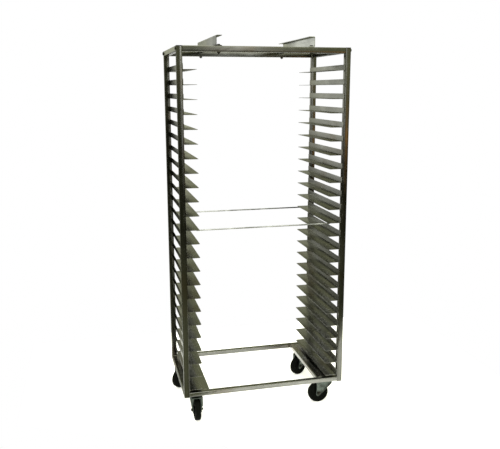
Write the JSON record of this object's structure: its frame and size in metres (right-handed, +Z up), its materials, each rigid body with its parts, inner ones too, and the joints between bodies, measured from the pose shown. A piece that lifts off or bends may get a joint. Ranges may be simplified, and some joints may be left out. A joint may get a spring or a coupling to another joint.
{
  "type": "sheet pan rack",
  "caption": "Open stainless steel oven rack for sheet pans: angle slides up both sides, tie rods, lift channels on top and swivel casters below.",
  "frame": {"origin": "on the floor, under the middle of the bounding box, with the casters swivelled as at rest", "axes": "+X towards the rack's right side, +Y towards its back, +Z up"},
  "size_m": [0.8012, 0.5056, 1.7678],
  "materials": {
    "stainless_frame": "brushed stainless tube, slightly warm and worn",
    "stainless_slide": "mill finish stainless sheet",
    "stainless_channel": "bright brushed stainless",
    "zinc_plated_steel": "satin zinc plating, slightly blue",
    "black_rubber": "matt black high temperature rubber"
  },
  "bodies": {
    "rack": {"welded_frame": "stainless_frame", "left_slide_01": "stainless_slide", "right_slide_01": "stainless_slide", "left_slide_02": "stainless_slide", "right_slide_02": "stainless_slide", "left_slide_03": "stainless_slide", "right_slide_03": "stainless_slide", "left_slide_04": "stainless_slide", "right_slide_04": "stainless_slide", "left_slide_05": "stainless_slide", "right_slide_05": "stainless_slide", "left_slide_06": "stainless_slide", "right_slide_06": "stainless_slide", "left_slide_07": "stainless_slide", "right_slide_07": "stainless_slide", "left_slide_08": "stainless_slide", "right_slide_08": "stainless_slide", "left_slide_09": "stainless_slide", "right_slide_09": "stainless_slide", "left_slide_10": "stainless_slide", "right_slide_10": "stainless_slide", "left_slide_11": "stainless_slide", "right_slide_11": "stainless_slide", "tied_slides_12": "stainless_slide", "left_slide_13": "stainless_slide", "right_slide_13": "stainless_slide", "left_slide_14": "stainless_slide", "right_slide_14": "stainless_slide", "left_slide_15": "stainless_slide", "right_slide_15": "stainless_slide", "left_slide_16": "stainless_slide", "right_slide_16": "stainless_slide", "left_slide_17": "stainless_slide", "right_slide_17": "stainless_slide", "left_slide_18": "stainless_slide", "right_slide_18": "stainless_slide", "left_slide_19": "stainless_slide", "right_slide_19": "stainless_slide", "left_slide_20": "stainless_slide", "right_slide_20": "stainless_slide", "left_slide_21": "stainless_slide", "right_slide_21": "stainless_slide", "left_slide_22": "stainless_slide", "right_slide_22": "stainless_slide", "left_slide_23": "stainless_slide", "right_slide_23": "stainless_slide", "left_slide_24": "stainless_slide", "right_slide_24": "stainless_slide", "top_front_rail": "stainless_frame", "top_rear_rail": "stainless_frame", "left_lift_channel": "stainless_channel", "right_lift_channel": "stainless_channel"},
    "fork_front_left": {"caster_fork_front_left": "zinc_plated_steel"},
    "wheel_front_left": {"caster_wheel_front_left": "black_rubber"},
    "fork_front_right": {"caster_fork_front_right": "zinc_plated_steel"},
    "wheel_front_right": {"caster_wheel_front_right": "black_rubber"},
    "fork_rear_left": {"caster_fork_rear_left": "zinc_plated_steel"},
    "wheel_rear_left": {"caster_wheel_rear_left": "black_rubber"},
    "fork_rear_right": {"caster_fork_rear_right": "zinc_plated_steel"},
    "wheel_rear_right": {"caster_wheel_rear_right": "black_rubber"}
  },
  "joints": [
    {"name": "swivel_front_left", "type": "hinge", "parent": "rack", "child": "fork_front_left", "pos_m": [-0.32442, -0.16375, 0.12], "axis": [0, 0, 1], "continuous": true},
    {"name": "roll_front_left", "type": "hinge", "parent": "fork_front_left", "child": "wheel_front_left", "pos_m": [-0.32442, -0.20175, 0.051], "axis": [1, 0, 0], "continuous": true},
    {"name": "swivel_front_right", "type": "hinge", "parent": "rack", "child": "fork_front_right", "pos_m": [0.33358, -0.16375, 0.12], "axis": [0, 0, 1], "continuous": true},
    {"name": "roll_front_right", "type": "hinge", "parent": "fork_front_right", "child": "wheel_front_right", "pos_m": [0.29558, -0.16375, 0.051], "axis": [0, -1, 0], "continuous": true},
    {"name": "swivel_rear_left", "type": "hinge", "parent": "rack", "child": "fork_rear_left", "pos_m": [-0.32442, 0.18625, 0.12], "axis": [0, 0, 1], "continuous": true},
    {"name": "roll_rear_left", "type": "hinge", "parent": "fork_rear_left", "child": "wheel_rear_left", "pos_m": [-0.35436, 0.16285, 0.051], "axis": [0.6157, -0.788, 0], "continuous": true},
    {"name": "swivel_rear_right", "type": "hinge", "parent": "rack", "child": "fork_rear_right", "pos_m": [0.33358, 0.18625, 0.12], "axis": [0, 0, 1], "continuous": true},
    {"name": "roll_rear_right", "type": "hinge", "parent": "fork_rear_right", "child": "wheel_rear_right", "pos_m": [0.30003, 0.16841, 0.051], "axis": [0.4695, -0.8829, 0], "continuous": true}
  ]
}
